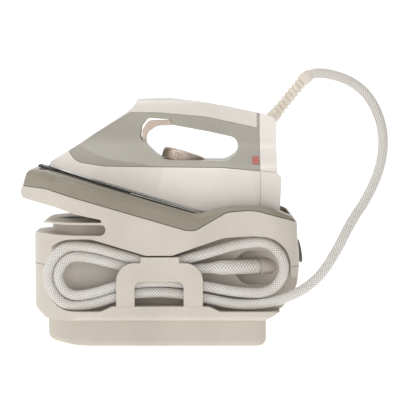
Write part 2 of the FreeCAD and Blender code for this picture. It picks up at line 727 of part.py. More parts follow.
element_z = boiler_start.z - element_drop
element_end = boiler_start.x + boiler_length + 6
element = bent_tube([
    vec(element_end, boiler_start.y - element_spread, element_z), vec(30,
        boiler_start.y - element_spread, element_z),
    vec(20, boiler_start.y, element_z),
    vec(30, boiler_start.y + element_spread, element_z), vec(element_end,
        boiler_start.y + element_spread, element_z),
], element_radius)
boiler = boiler_form().cut(boiler_form(boiler_wall)).cut(element)
weld = tube(boiler_start + along * (boiler_length / 2 - 1.5), along, 3, boiler_radius + 3,
    boiler_radius - 1)
boiler = boiler.fuse(weld)
saddles = []
for x in (20.0, 104.0):
    saddle = box(x, x + 4, boiler_start.y - 30, boiler_start.y + 30, floor_top, boiler_start.z - 20)
    saddle = saddle.cut(rod(boiler_start, along, boiler_length, boiler_radius))
    saddles.append(saddle.fuse(box(x, x + 14, boiler_start.y - 30, boiler_start.y + 30, floor_top,
        floor_top + 3)))
pump_start = vec(-20, outlet.y, outlet.z)
pump = rod(pump_start, along, pump_length, pump_radius)
pump = pump.fuse(box(-12, 18, outlet.y - 9, outlet.y + 9, floor_top, outlet.z))
boiler_solid = boiler_form()
feed = rod(outlet, along, pump_start.x - outlet.x, 3.0)
pressure = bent_tube([
    vec(pump_start.x + pump_length, outlet.y, outlet.z), vec(44, outlet.y, outlet.z), vec(44,
        boiler_start.y, outlet.z)
], 3.0).cut(boiler_solid)
safety_valve = rod(vec(84, boiler_start.y, boiler_start.z), up, boiler_radius + 12, 6.0).cut(boiler_solid)
cutout = rod(vec(36, boiler_start.y, boiler_start.z), up, boiler_radius + 8, 9.0).cut(boiler_solid)
solenoid = rounded_box(101, 127, -58, -34, 84, 110, 2)
steam_line_radius = 3.0
steam_line = bent_tube([
    collar_start, collar_start - hose_heading * 14, vec(142, -46, 97), vec(130, -46, 97)
], steam_line_radius)
line_hole = rod(collar_start - hose_heading * 26, hose_heading, 27, steam_line_radius + 2.5)
lower_housing = lower_housing.cut(line_hole)
upper_housing = upper_housing.cut(line_hole)
valve_feed = bent_tube([
    vec(117, -46, 110), vec(117, -46, 122), vec(117, boiler_start.y, 130), vec(117, boiler_start.y, 110)
], 3.0).cut(boiler_solid)
parts["boiler"] = boiler
parts["boiler_element"] = element
parts["boiler_cradle"] = Part.makeCompound(saddles)
parts["boiler_cutout"] = cutout
parts["safety_valve"] = safety_valve
parts["solenoid_valve"] = solenoid
parts["water_pump"] = pump
parts["feed_tube"] = feed
parts["pressure_tube"] = pressure
parts["valve_tube"] = valve_feed
parts["steam_line"] = steam_line

# Circuit board on four stand-offs inside the far wall
board_x = (44.0, 124.0)
board_z = (60.0, 95.0)
board_y = 93.0
board = box(board_x[0], board_x[1], board_y, board_y + 1.6, board_z[0], board_z[1])
inner_wall_y = station_half_width - wall - rim_step
for x in (board_x[0] + 4, board_x[1] - 4):
    for z in (board_z[0] + 4, board_z[1] - 4):
        board = board.fuse(rod(vec(x, board_y + 1.6, z), vec(0, 1, 0), inner_wall_y - board_y - 1.6, 3.0))
for x, z, width, height, depth in ((50, 64, 22, 18, 16), (84, 64, 14, 14, 20), (66, 84, 12, 8, 9),
    (102, 68, 16, 18, 6)):
    board = board.fuse(box(x, x + width, board_y - depth, board_y, z, z + height))
parts["circuit_board"] = board

# ---------------------------------------------------------------------------------------------
# Rear: steam control knob, power rocker, pilot lights and the mains lead's inlet
# ---------------------------------------------------------------------------------------------
overall_rear = -tongue_front
knob_tilt = 10.0
knob_radius = 14.7
knob_height = 3.4
knob_dome = 2.2
knob_z = 110.0
knob_shaft_radius = 3.0
backing = 2.4
knob_heading = vec(math.cos(math.radians(knob_tilt)), 0, math.sin(math.radians(knob_tilt)))
seat_x = overall_rear - (face_gap + knob_height) * knob_heading.x - knob_radius * knob_heading.z
knob_seat = vec(seat_x, 0, knob_z)
knob = rod(knob_seat + knob_heading * face_gap, knob_heading, knob_height, knob_radius)
dome_radius = (knob_radius ** 2 + knob_dome ** 2) / (2 * knob_dome)
dome_centre = knob_seat + knob_heading * (face_gap + knob_height + knob_dome - dome_radius)
dome = Part.makeSphere(dome_radius, dome_centre)
knob = knob.fuse(rod(knob_seat + knob_heading * (face_gap + knob_height - 0.1), knob_heading, 10,
    knob_radius).common(dome))
backing_disc = rod(knob_seat - knob_heading * backing, knob_heading, backing + 1.5, knob_radius + 3)
knob_well = rod(knob_seat, knob_heading, 20, knob_radius + 0.8)
knob_bore = rod(knob_seat - knob_heading * 10, knob_heading, 20, knob_shaft_radius + shaft_fit)
inside = body_form(wall / 2, wall / 2)
backing_disc = backing_disc.common(inside)
lower_housing = lower_housing.fuse(backing_disc.common(lower_half)).cut(knob_well).cut(knob_bore)
upper_housing = upper_housing.fuse(backing_disc.cut(lower_half)).cut(knob_well).cut(knob_bore)
regulator_start = knob_seat - knob_heading * (backing + 20)
regulator_radius = 9.0
regulator = rod(regulator_start, knob_heading, 20, regulator_radius)
regulator_room = rod(regulator_start, knob_heading, 20, regulator_radius + face_gap)
lower_housing = lower_housing.cut(regulator_room)
upper_housing = upper_housing.cut(regulator_room)
regulator = regulator.cut(rod(knob_seat - knob_heading * (backing + 10), knob_heading, 20,
    knob_shaft_radius + shaft_fit))
shaft_start = knob_seat - knob_heading * (backing + 9)
knob_shaft = rod(shaft_start, knob_heading, backing + 9 + face_gap, knob_shaft_radius)
parts["control_knob"] = knob
parts["knob_shaft"] = knob_shaft
parts["steam_regulator"] = regulator

rear_low = rear_edge[2]
rear_high = rear_edge[1]
rear_tilt = math.degrees(math.atan2(rear_low[0] - rear_high[0], rear_high[1] - rear_low[1]))
switch_z = 126.0
rear_x = rear_high[0] + (rear_high[1] - switch_z) * math.tan(math.radians(rear_tilt))


def on_rear(shape):
    """Moves a shape from the frame of the flat part of the rear wall (x outwards) to its place."""
    placed = shape.copy()
    placed.Placement = FreeCAD.Placement(
        vec(rear_x, 0, switch_z), FreeCAD.Rotation(vec(0, 1, 0), -rear_tilt)
    ).multiply(placed.Placement)
    return placed


switch_y = 44.0
frame_half = (13.0, 8.0)
rocker_half = (9.6, 5.0)
rocker_gap = 0.6


def panel_box(x_low, x_high, half, grown=0.0):
    corners = [(-half[0] - grown, -half[1] - grown, 1.5), (half[0] + grown, -half[1] - grown, 1.5),
               (half[0] + grown, half[1] + grown, 1.5), (-half[0] - grown, half[1] + grown, 1.5)]
    panel = front_block(corners, x_low, x_high)
    panel.translate(vec(0, switch_y, 0))
    return panel


frame_hole = (frame_half[0] - 1.5, frame_half[1] - 1.5)
frame = panel_box(0, 1.2, frame_half).fuse(panel_box(-10.5, 0.5, frame_hole))
frame = frame.cut(panel_box(-9, 5, rocker_half, rocker_gap))
rocker_corners = [(-9.6, -3.6, 0.4), (9.4, -6.0, 0.4), (9.1, 2.6, 0.8), (0.5, 0.5, 6), (-9.6, 0.4, 0.8)]
rocker = plan_block([(b, a + switch_y, radius) for a, b, radius in rocker_corners], -rocker_half[1],
    rocker_half[1])
rocker_pin = 1.2
pin_reach = rocker_half[1] + 1.2
rocker_axis = vec(-2, switch_y, -pin_reach)
rocker = rocker.fuse(rod(rocker_axis, up, 2 * pin_reach, rocker_pin))
frame = frame.cut(rod(rocker_axis, up, 2 * pin_reach, rocker_pin + shaft_fit))
rear_cut = on_rear(panel_box(-12, 10, frame_hole, 0.1))
upper_housing = upper_housing.cut(rear_cut)
parts["switch_frame"] = on_rear(frame)
parts["power_rocker"] = on_rear(rocker)
lights = []
for y in (14.0, 22.0):
    light = rod(vec(-5, y, 0), along, 5.2, 2.5)
    light = light.fuse(Part.makeSphere(3.2, vec(-1.6, y, 0)).common(rod(vec(0, y, 0), along, 5, 2.5)))
    lights.append(on_rear(light))
    upper_housing = upper_housing.cut(on_rear(rod(vec(-10, y, 0), along, 20, 2.5)))
parts["pilot_lights"] = Part.makeCompound(lights)

inlet_y = 56.0
inlet_z = 86.0
inlet_bore = 3.6
inlet_low = rear_edge[4]
inlet_high = rear_edge[3]
inlet_slope = math.atan2(inlet_high[0] - inlet_low[0], inlet_high[1] - inlet_low[1])
inlet_x = inlet_low[0] + (inlet_z - inlet_low[1]) * math.tan(inlet_slope)
inlet_heading = vec(math.cos(inlet_slope), 0, -math.sin(inlet_slope))
inlet = vec(inlet_x, inlet_y, inlet_z)
gland = rod(inlet, inlet_heading, 1.4, 9.0).fuse(rod(inlet - inlet_heading * 9, inlet_heading, 12.8, 6.5))
gland = gland.fuse(rod(inlet - inlet_heading * 6.5, inlet_heading, 3.5, 8.5))
gland = gland.cut(rod(inlet - inlet_heading * 20, inlet_heading, 40, inlet_bore))
lower_housing = lower_housing.cut(rod(inlet - inlet_heading * 20, inlet_heading, 40, 6.5))
lower_housing = lower_housing.cut(rod(inlet - inlet_heading * 20, inlet_heading, 17, 8.5 + face_gap))
parts["mains_inlet_gland"] = gland
parts["lower_housing"] = lower_housing
parts["upper_housing"] = upper_housing
parts["top_cover"] = top_cover

for name, shape in parts.items():
    print(name, shape.isValid(), [round(solid.Volume) for solid in shape.Solids])
os.makedirs("parts", exist_ok=True)
for name, shape in parts.items():
    shape.exportStep("parts/" + name + ".step")
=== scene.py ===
# %% [markdown]
# # A steam generator iron
#
# The base holds the water tank and the boiler, the iron rests on its sloping cover, and a braided steam
# hose lies in loops on its side. The solids come from the imported frame: each keeps its place, its name and
# the body that it moves with. This lesson gives every one of them a finish, models again, in finer detail,
# the pieces that the eye stops at: the hose, its boot, the dial and the knob, and gives the trigger a smooth
# copy.

# %% Load the frame
import json
import math

import bpy
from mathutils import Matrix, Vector

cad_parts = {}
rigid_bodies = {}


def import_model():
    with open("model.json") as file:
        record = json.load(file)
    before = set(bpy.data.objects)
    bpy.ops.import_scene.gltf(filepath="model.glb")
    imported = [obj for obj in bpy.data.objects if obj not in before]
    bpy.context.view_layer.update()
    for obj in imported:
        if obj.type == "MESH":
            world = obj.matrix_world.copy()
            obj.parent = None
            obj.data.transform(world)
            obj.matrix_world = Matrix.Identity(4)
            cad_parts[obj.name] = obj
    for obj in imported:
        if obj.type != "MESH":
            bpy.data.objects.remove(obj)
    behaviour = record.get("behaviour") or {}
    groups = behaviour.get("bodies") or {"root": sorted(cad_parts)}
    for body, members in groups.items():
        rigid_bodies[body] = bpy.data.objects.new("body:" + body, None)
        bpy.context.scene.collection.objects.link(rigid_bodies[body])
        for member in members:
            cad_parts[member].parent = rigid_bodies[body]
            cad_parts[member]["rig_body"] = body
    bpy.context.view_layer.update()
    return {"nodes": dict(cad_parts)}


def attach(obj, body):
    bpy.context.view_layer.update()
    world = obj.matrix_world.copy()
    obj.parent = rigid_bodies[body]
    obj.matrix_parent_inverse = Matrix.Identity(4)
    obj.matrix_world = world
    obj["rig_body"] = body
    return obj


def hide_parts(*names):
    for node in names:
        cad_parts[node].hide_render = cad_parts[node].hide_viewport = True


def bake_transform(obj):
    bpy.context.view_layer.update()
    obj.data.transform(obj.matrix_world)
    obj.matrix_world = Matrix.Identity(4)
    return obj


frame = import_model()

nodes = frame["nodes"]

# %% [markdown]
# ## The camera
#
# A product shot is taken from far away with a long lens, so that parallel edges stay almost parallel. The
# camera looks along +Y from three degrees above the table. It is the first thing made, because the hose may
# spread only so far outside its view.

# %% Camera
view_width = 0.5
view_distance = 2.6
sensor_width = 36
view_height = math.radians(3.2)
view_centre = Vector((0.0477, 0, 0.1738))
bpy.ops.object.camera_add()
camera = bpy.context.object
camera.name = "camera"
camera.data.sensor_width = sensor_width
camera.data.lens = sensor_width * view_distance / view_width
camera.location = view_centre + view_distance * Vector((0, -math.cos(view_height), math.sin(view_height)))
camera.rotation_euler = (math.pi / 2 - view_height, 0, 0)
bpy.context.scene.camera = camera
print("lens", camera.data.lens)

# %% [markdown]
# ## Table and light
#
# A pale sheet runs from the table up behind the object in one curve, so no horizon shows. A large soft
# light above gives the tops their brightness, a wide one in front keeps the near side open, and a smaller
# one at the left draws the bright edge along the rims. The world fills what is left.

# %% Working helpers
def only(*objects):
    """Leaves just these objects selected, the first of them active."""
    bpy.ops.object.select_all(action="DESELECT")
    for one in objects:
        one.select_set(True)
    bpy.context.view_layer.objects.active = objects[0]


def settle(piece):
    """Writes a piece's place, turn and size into its mesh."""
    only(piece)
    bpy.ops.object.transform_apply(location=True, rotation=True, scale=True)


def pick(piece, test, kind="FACE"):
    """In edit mode, selects the faces or edges whose middle (and normal) pass a test."""
    bpy.ops.mesh.select_mode(type=kind)
    bpy.ops.mesh.select_all(action="DESELECT")
    bpy.ops.object.mode_set(mode="OBJECT")
    mesh = piece.data
    if kind == "FACE":
        for face in mesh.polygons:
            face.select = test(face.center, face.normal)
    else:
        for edge in mesh.edges:
            ends = [mesh.vertices[index].co for index in edge.vertices]
            edge.select = test(*ends)
    bpy.ops.object.mode_set(mode="EDIT")


def apply_all(piece):
    """Applies a piece's modifiers, in order."""
    only(piece)
    for modifier in list(piece.modifiers):
        bpy.ops.object.modifier_apply(modifier=modifier.name)


def tell(piece):
    low = [round(min(v.co[axis] for v in piece.data.vertices), 4) for axis in range(3)]
    high = [round(max(v.co[axis] for v in piece.data.vertices), 4) for axis in range(3)]
    print(piece.name, len(piece.data.polygons), "faces from", low, "to", high)


# %% Backdrop
only(camera)
bpy.ops.mesh.primitive_plane_add(size=12, location=(0, 0, 0))
backdrop = bpy.context.object
backdrop.name = "backdrop"
bpy.ops.object.mode_set(mode="EDIT")
pick(backdrop, lambda a, b: a.y > 5.9 and b.y > 5.9, "EDGE")
bpy.ops.mesh.extrude_region_move(TRANSFORM_OT_translate={"value": (0, 0, 4)})
bpy.ops.object.mode_set(mode="OBJECT")
settle(backdrop)
curve = backdrop.modifiers.new("curve", "BEVEL")
curve.width = 1.2
curve.segments = 12
apply_all(backdrop)
bpy.ops.object.shade_smooth()
paper = bpy.data.materials.new("paper")
paper.use_nodes = True
paper_shader = paper.node_tree.nodes["Principled BSDF"]
paper_shader.inputs["Base Color"].default_value = (0.94, 0.94, 0.94, 1)
paper_shader.inputs["Roughness"].default_value = 0.9
paper_shader.inputs["Specular IOR Level"].default_value = 0.0
paper_shader.inputs["Emission Color"].default_value = (1, 1, 1, 1)
paper_shader.inputs["Emission Strength"].default_value = 0.6
backdrop.data.materials.append(paper)
print("backdrop", len(backdrop.data.polygons))

# %% Lights
def soft_light(name, place, size, power, aim=(0, 0, 0.15)):
    bpy.ops.object.light_add(type="AREA", location=place)
    light = bpy.context.object
    light.name = name
    light.data.shape = "RECTANGLE"
    light.data.size, light.data.size_y = size
    light.data.energy = power
    turn = (Vector(aim) - Vector(place)).to_track_quat("-Z", "Y")
    light.rotation_euler = turn.to_euler()
    return light


soft_light("light_top", (-0.35, -0.25, 1.7), (1.6, 1.2), 12)
soft_light("light_front", (0.2, -2.2, 1.0), (2.2, 1.4), 5.5)
soft_light("light_left", (-1.6, -0.9, 0.7), (0.7, 1.2), 4)
world = bpy.data.worlds.new("room")
bpy.context.scene.world = world
world.use_nodes = True
world.node_tree.nodes["Background"].inputs["Color"].default_value = (1.0, 0.985, 0.965, 1)
world.node_tree.nodes["Background"].inputs["Strength"].default_value = 0.45
bpy.context.scene.view_settings.view_transform = "Standard"

# %% [markdown]
# ## The steam hose
#
# The hose is one braided sleeve over a rubber tube, 12 mm thick and 1.616 m long. It leaves the base
# through a collar, lies in flat loops behind its bracket, then rises behind the base to the boot on the
# heel of the iron. Its line is a smooth spline through listed control points. The tube is a skin of rings
# that follow that line, and the rings carry the relief of the braid, so the hose looks woven when close.

# %% The hose's line
hose_route = [
    (0.121, -0.072, 0.097), (0.091, -0.087, 0.0973), (0.052, -0.0905, 0.0965), (0, -0.0825, 0.09),
    (-0.05, -0.0905, 0.0998), (-0.088, -0.092, 0.1105), (-0.1136, -0.092, 0.1105),
    (-0.1271, -0.092, 0.087), (-0.1136, -0.092, 0.0635), (-0.088, -0.092, 0.0635),
    (-0.05, -0.092, 0.076), (0, -0.092, 0.0813), (0.05, -0.092, 0.0755), (0.096, -0.092, 0.0664),
    (0.1357, -0.092, 0.0664), (0.1533, -0.092, 0.097), (0.1357, -0.092, 0.1276), (0.1, -0.092, 0.128),
    (0.048, -0.092, 0.112), (0, -0.094, 0.0995), (-0.05, -0.092, 0.1125), (-0.086, -0.092, 0.123),
    (-0.1208, -0.092, 0.123), (-0.1416, -0.092, 0.087), (-0.1208, -0.092, 0.051),
    (-0.086, -0.092, 0.051), (-0.05, -0.092, 0.0636), (0, -0.092, 0.0686), (0.051, -0.092, 0.061),
    (0.098, -0.092, 0.0505), (0.148, -0.094, 0.057), (0.188, -0.088, 0.079), (0.213, -0.076, 0.114),
    (0.232, -0.062, 0.1505), (0.254, -0.046, 0.18), (0.272, -0.03, 0.219), (0.276, -0.016, 0.258),
    (0.264, -0.007, 0.296), (0.24, -0.002, 0.321), (0.206, 0, 0.3325), (0.183, 0, 0.3318),
    (0.17479, 0, 0.32176),
]
hose_radius = 0.006
hose_curve = bpy.data.curves.new("hose_line", "CURVE")
hose_curve.dimensions = "3D"
hose_curve.resolution_u = 40
hose_spline = hose_curve.splines.new("NURBS")
hose_spline.points.add(len(hose_route) - 1)
for point, place in zip(hose_spline.points, hose_route):
    point.co = (*place, 1)
hose_spline.order_u = 3
hose_spline.use_endpoint_u = True
hose_object = bpy.data.objects.new("hose_line", hose_curve)
bpy.context.scene.collection.objects.link(hose_object)
bpy.context.view_layer.update()
hose_shown = hose_object.evaluated_get(bpy.context.evaluated_depsgraph_get())
line_mesh = bpy.data.meshes.new_from_object(hose_shown)
hose_line = [vertex.co.copy() for vertex in line_mesh.vertices]
bpy.data.objects.remove(hose_object)


def line_length(points):
    return sum((b - a).length for a, b in zip(points, points[1:]))


print("hose line", len(hose_line), "points", round(line_length(hose_line), 4), "m")

# %% Even steps along a line
def even_steps(points, step):
    """Points at equal distances along a line, its two ends included."""
    total = line_length(points)
    count = round(total / step)
    wanted = [total * index / count for index in range(count + 1)]
    placed = []
    walked = 0.0
    index = 0
    for goal in wanted:
        while index < len(points) - 2 and walked + (points[index + 1] - points[index]).length < goal:
            walked += (points[index + 1] - points[index]).length
            index += 1
        run = points[index + 1] - points[index]
        share = min(1.0, (goal - walked) / run.length)
        placed.append(points[index] + run * share)
    return placed


def carried_frames(points):
    """A side and an up direction at each point, carried along the line without twist."""
    frames = []
    side = Vector((0, 0, 1))
    for index, point in enumerate(points):
        ahead = points[min(index + 1, len(points) - 1)] - points[max(index - 1, 0)]
        ahead.normalize()
        side = (side - ahead * side.dot(ahead)).normalized()
        frames.append((side.copy(), ahead.cross(side)))
    return frames


ring_step = 0.00083
hose_steps = even_steps(hose_line, ring_step)
print("hose steps", len(hose_steps), round(line_length(hose_steps), 4))

# %% The braided skin
carriers = 10
braid_cell = 2 * math.pi * hose_radius / carriers
braid_relief = 0.0004
cuff_reach = 0.068
cuff_extra = 0.0027
cuff_mouth = 0.007
cuff_full = 0.05
cuff_tuck = 0.0016
around = 50


def hose_swell(walked):
    """How far the reinforced cuff at the base's collar stands outside the plain hose."""
    if walked > cuff_reach:
        return 0.0
    rounded = math.sqrt(max(0.0, 1 - (1 - min(1.0, walked / cuff_mouth)) ** 2))
    past = max(0.0, walked - cuff_full)
    fade = 0.5 + 0.5 * math.cos(math.pi * past / (cuff_reach - cuff_full))
    return cuff_extra * fade * rounded - cuff_tuck * (1 - rounded)


def braid_height(first, second):
    """Relief of two families of yarns that pass over and under each other."""
    over = (math.floor(first) + math.floor(second)) % 2 == 0
    across = first if over else second
    along = second if over else first
    crown = 1 - (2 * (across % 1) - 1) ** 2
    dip = 0.6 + 0.4 * math.sin(math.pi * (along % 1))
    return crown * dip


rings = []
walked = 0.0
hose_frames = carried_frames(hose_steps)
for index, (centre, (side, lift)) in enumerate(zip(hose_steps, hose_frames)):
    if index:
        walked += (centre - hose_steps[index - 1]).length
    ring = []
    for turn in range(around):
        angle = 2 * math.pi * turn / around
        share = carriers * turn / around
        height = braid_height(share + walked / braid_cell, share - walked / braid_cell)
        radius = hose_radius + hose_swell(walked) + braid_relief * (height - 0.55)
        ring.append(centre + (side * math.cos(angle) + lift * math.sin(angle)) * radius)
    rings.append((walked, ring))
print("rings", len(rings))

# %% Skin the rings
hose_points = [point for _, ring in rings for point in ring]
hose_faces = []
for index in range(len(rings) - 1):
    for turn in range(around):
        after = (turn + 1) % around
        low = index * around
        high = low + around
        hose_faces.append((low + turn, low + after, high + after, high + turn))
hose_faces.append(tuple(reversed(range(around))))
hose_faces.append(tuple(range((len(rings) - 1) * around, len(rings) * around)))
hose_mesh = bpy.data.meshes.new("steam_hose")
hose_mesh.from_pydata([tuple(point) for point in hose_points], [], hose_faces)
hose_map = hose_mesh.uv_layers.new(name="along")
for face in hose_mesh.polygons[:-2]:
    index, turn = divmod(face.index, around)
    corners = ((turn, 0), (turn + 1, 0), (turn + 1, 1), (turn, 1))
    for loop, (share, ahead) in zip(face.loop_indices, corners):
        hose_map.data[loop].uv = (rings[index + ahead][0] / braid_cell, carriers * share / around)
hose = bpy.data.objects.new("steam_hose", hose_mesh)
bpy.context.scene.collection.objects.link(hose)
only(hose)
bpy.ops.object.shade_smooth()
bpy.ops.object.mode_set(mode="EDIT")
bpy.ops.mesh.select_all(action="SELECT")
bpy.ops.mesh.normals_make_consistent(inside=False)
bpy.ops.object.mode_set(mode="OBJECT")
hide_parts("steam_hose_stored", "steam_hose_free", "hose_cuff")
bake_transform(hose)
tell(hose)

# %% [markdown]
# ## Finishes
#
# A finish is a small program. It starts from a place on the piece, in metres, and works out colour,
# roughness and relief there. The class below writes such programs: values can be added and multiplied
# with the usual signs, and every other step is one call that names its kind, its settings and its inputs.

# %% A value in a finish
class Value:
    """One output inside a finish, which can be used in sums."""

    def __init__(self, finish, socket):
        self.finish = finish
        self.socket = socket

    def sum(self, operation, first, second):
        return self.finish.maths(operation, first, second)

    def __add__(self, other):
        return self.sum("ADD", self, other)

    def __radd__(self, other):
        return self.sum("ADD", other, self)

    def __sub__(self, other):
        return self.sum("SUBTRACT", self, other)

    def __rsub__(self, other):
        return self.sum("SUBTRACT", other, self)

    def __mul__(self, other):
        return self.sum("MULTIPLY", self, other)

    def __rmul__(self, other):
        return self.sum("MULTIPLY", other, self)

    def __truediv__(self, other):
        return self.sum("DIVIDE", self, other)


# %% A finish
class Finish:
    """A material whose pattern is worked out from Object coordinates, or from a piece's own map."""

    def __init__(self, name, **uniform):
        self.material = bpy.data.materials.new(name)
        self.material.use_nodes = True
        self.tree = self.material.node_tree
        self.shader = self.tree.nodes["Principled BSDF"]
        for socket, value in uniform.items():
            self.shader.inputs[socket.replace("_", " ")].default_value = value
        self.place = self.add("ShaderNodeTexCoord", {}, {}, "Object")

    def add(self, kind, settings, inputs, output=0):
        node = self.tree.nodes.new(kind)
        for name, value in settings.items():
            setattr(node, name, value)
        for name, value in inputs.items():
            if isinstance(value, Value):
                self.tree.links.new(value.socket, node.inputs[name])
            else:
                node.inputs[name].default_value = value
        return Value(self, node.outputs[output])

    def maths(self, operation, first, second=0.0):
        return self.add("ShaderNodeMath", {"operation": operation}, {0: first, 1: second})

    def noise(self, scale, detail=2.0, rough=0.5, place=None):
        inputs = {"Vector": place or self.place, "Scale": scale, "Detail": detail, "Roughness": rough}
        return self.add("ShaderNodeTexNoise", {}, inputs, "Fac")

    def stretched(self, scale):
        inputs = {"Vector": self.place, "Scale": scale}
        return self.add("ShaderNodeMapping", {}, inputs)

    def ramp(self, value, low, high):
        """0 below low, 1 above high, smooth between."""
        inputs = {"Value": value, "From Min": low, "From Max": high}
        return self.add("ShaderNodeMapRange", {"interpolation_type": "SMOOTHSTEP"}, inputs)

    def mix(self, share, first, second):
        return self.add("ShaderNodeMix", {"data_type": "RGBA"}, {0: share, 6: first, 7: second}, 2)

    def feed(self, socket, value):
        self.tree.links.new(value.socket, self.shader.inputs[socket])

    def relief(self, height, depth, edge=0.0):
        """Bump of a depth in metres, over edges rounded by a small radius."""
        inputs = {"Height": height, "Distance": depth, "Strength": 1.0}
        if edge:
            inputs["Normal"] = self.add("ShaderNodeBevel", {"samples": 4}, {"Radius": edge})
        self.feed("Normal", self.add("ShaderNodeBump", {}, inputs))


def tint(red, green, blue):
    """A screen colour, 0 to 255, as the linear colour that shaders use."""
    def linear(value):
        value = value / 255
        return value / 12.92 if value <= 0.04045 else ((value + 0.055) / 1.055) ** 2.4
    return (linear(red), linear(green), linear(blue), 1)


print("white is", tint(255, 255, 255))

# %% [markdown]
# ### Moulded plastics
#
# The shells are injection moulded. A spark-eroded mould leaves a fine even grain, the wall shrinks a little
# over its ribs, and years of handling polish the proud places. So each plastic has a grain of about a
# millimetre in its relief, faint clouds in its colour, and roughness that drifts with both. Edges are
# rounded by the shader where the mould's own radius is too small to model.

# %% Moulded plastic
def moulded(name, colour, rough=0.42, grain=0.00003, coat=0.0, cloud=0.05, edge=0.0007):
    finish = Finish(name, Roughness=rough, Coat_Weight=coat, Coat_Roughness=0.12, IOR=1.46)
    clouds = finish.noise(14.0, 3.0)
    specks = finish.noise(900.0, 1.0)
    dark = tuple(part * (1 - cloud) ** 2 for part in colour[:3]) + (1,)
    light = tuple(min(1.0, part * (1 + cloud * 0.6)) for part in colour[:3]) + (1,)
    tone = finish.ramp(clouds * 0.75 + specks * 0.25, 0.32, 0.68)
    finish.feed("Base Color", finish.mix(tone, dark, light))
    finish.feed("Roughness", rough + (clouds - 0.5) * 0.16 + (specks - 0.5) * 0.1)
    sink = finish.noise(22.0, 1.0)
    finish.relief(specks + sink * 1.5, grain, edge)
    return finish.material


shell_cream = moulded("shell_cream", tint(203, 195, 184), 0.46)
plinth_cream = moulded("plinth_cream", tint(197, 190, 178), 0.5, 0.00004)
cover_olive = moulded("cover_olive", tint(144, 137, 121), 0.36)
handle_grey = moulded("handle_grey", tint(173, 169, 158), 0.36)
iron_white = moulded("iron_white", tint(238, 231, 224), 0.27, 0.000012, 0.35, 0.03, 0.0005)
cap_cream = moulded("cap_cream", tint(222, 217, 210), 0.3, 0.000012, 0.3, 0.03, 0.0005)
knob_grey = moulded("knob_grey", tint(84, 80, 70), 0.42)
black_plastic = moulded("black_plastic", tint(38, 37, 36), 0.36)
inner_plastic = moulded("inner_plastic", tint(205, 205, 200), 0.5)
print("moulded plastics", 9)

# %% [markdown]
# ### Rubber
#
# Rubber is duller than plastic, with a broad soft sheen, a powdery bloom in patches and a coarser grain.

# %% Rubber
def moulded_rubber(name, colour, bloom):
    finish = Finish(name, Roughness=0.7, Sheen_Weight=0.2, Sheen_Roughness=0.6)
    patches = finish.noise(60.0, 4.0, 0.6)
    grain = finish.noise(1400.0, 2.0)
    finish.feed("Base Color", finish.mix(finish.ramp(patches, 0.4, 0.75), colour, bloom))
    finish.feed("Roughness", 0.6 + patches * 0.25)
    finish.relief(grain + patches * 0.5, 0.00005, 0.0005)
    return finish.material


dark_rubber = moulded_rubber("dark_rubber", tint(52, 50, 47), tint(78, 75, 70))
pale_rubber = moulded_rubber("pale_rubber", tint(222, 214, 200), tint(208, 199, 184))
print("rubbers", dark_rubber.name, pale_rubber.name)

# %% [markdown]
# ### Metals
#
# The soleplate is brushed along its length: long fine scratches, stretched noise under a
# millimetre wide. The dial and the trigger have a champagne lacquer over metal, with the same brushing
# softened by the lacquer. Castings are dull and pebbled, and brass has darker, tarnished clouds.

# %% Brushed, lacquered and cast metal
def brushed(name, colour, rough, stretch=(40, 1400, 1400), lacquer=0.0, metal=1.0):
    finish = Finish(name, Metallic=metal, Roughness=rough, Coat_Weight=lacquer, Coat_Roughness=0.1)
    lines = finish.noise(1.0, 3.0, 0.7, finish.stretched(stretch))
    marks = finish.noise(30.0, 4.0)
    dark = tuple(part * 0.8 for part in colour[:3]) + (1,)
    finish.feed("Base Color", finish.mix(finish.ramp(lines * 0.6 + marks * 0.4, 0.35, 0.65), dark, colour))
    finish.feed("Roughness", rough + (lines - 0.5) * 0.18 + (marks - 0.5) * 0.12)
    finish.relief(lines, 0.00002, 0.0004)
    return finish.material


def cast(name, colour, rough):
    finish = Finish(name, Metallic=1.0, Roughness=rough)
    pebbles = finish.noise(420.0, 3.0)
    stains = finish.noise(35.0, 5.0, 0.6)
    dark = tuple(part * 0.62 for part in colour[:3]) + (1,)
    finish.feed("Base Color", finish.mix(finish.ramp(stains, 0.35, 0.7), colour, dark))
    finish.feed("Roughness", rough + (stains - 0.5) * 0.3)
    finish.relief(pebbles, 0.00008, 0.0004)
    return finish.material


sole_steel = brushed("sole_steel", tint(205, 204, 202), 0.28)
bright_strip = brushed("bright_strip", tint(244, 242, 238), 0.3, (60, 900, 900), 0.0, 0.35)
champagne = brushed("champagne", tint(214, 196, 182), 0.33, (900, 900, 60), 0.3, 0.75)
drawn_steel = brushed("drawn_steel", tint(188, 188, 188), 0.32, (900, 900, 900))
cast_metal = cast("cast_metal", tint(196, 196, 196), 0.5)
turned_brass = cast("turned_brass", tint(214, 186, 120), 0.3)
print("metals", 6)

# %% Lamp, tank and board
def clear_plastic(name, colour, deep, alpha=1.0, rough=0.15):
    finish = Finish(name, Roughness=rough, Coat_Weight=0.5, Coat_Roughness=0.05, Alpha=alpha)
    facets = finish.add("ShaderNodeTexVoronoi", {}, {"Vector": finish.place, "Scale": 700.0}, "Distance")
    clouds = finish.noise(120.0, 2.0)
    finish.feed("Base Color", finish.mix(finish.ramp(clouds, 0.3, 0.7), colour, deep))
    finish.feed("Roughness", rough + facets * 0.1)
    finish.relief(facets, 0.00012)
    return finish.material


lamp_red = clear_plastic("lamp_red", tint(205, 120, 116), tint(176, 92, 92))
tank_clear = clear_plastic("tank_clear", tint(206, 218, 222), tint(188, 204, 212))


